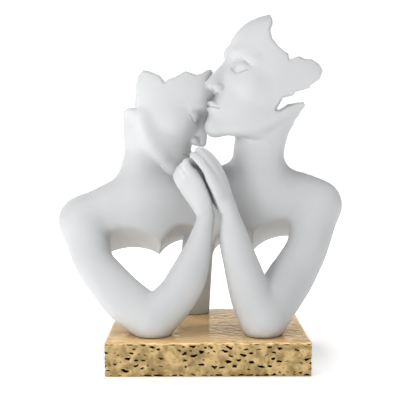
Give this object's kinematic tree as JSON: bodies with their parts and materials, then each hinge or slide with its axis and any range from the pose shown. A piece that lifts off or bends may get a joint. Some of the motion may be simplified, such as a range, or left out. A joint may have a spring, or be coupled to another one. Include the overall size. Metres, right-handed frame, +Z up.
{
  "type": "couple sculpture",
  "caption": "Two white porcelain half figures with broken, hollow heads, hands joined, on a hammered gold plinth.",
  "frame": {"origin": "centre of the plinth's underside", "axes": "+Z up, -Y towards the figures' fronts, the woman on the -X side and the man on the +X side"},
  "size_m": [0.3652, 0.1866, 0.4314],
  "materials": {
    "white_porcelain": "matte",
    "gold_plinth": "polished"
  },
  "bodies": {
    "root": {"couple": "white_porcelain", "plinth": "gold_plinth"}
  },
  "joints": []
}
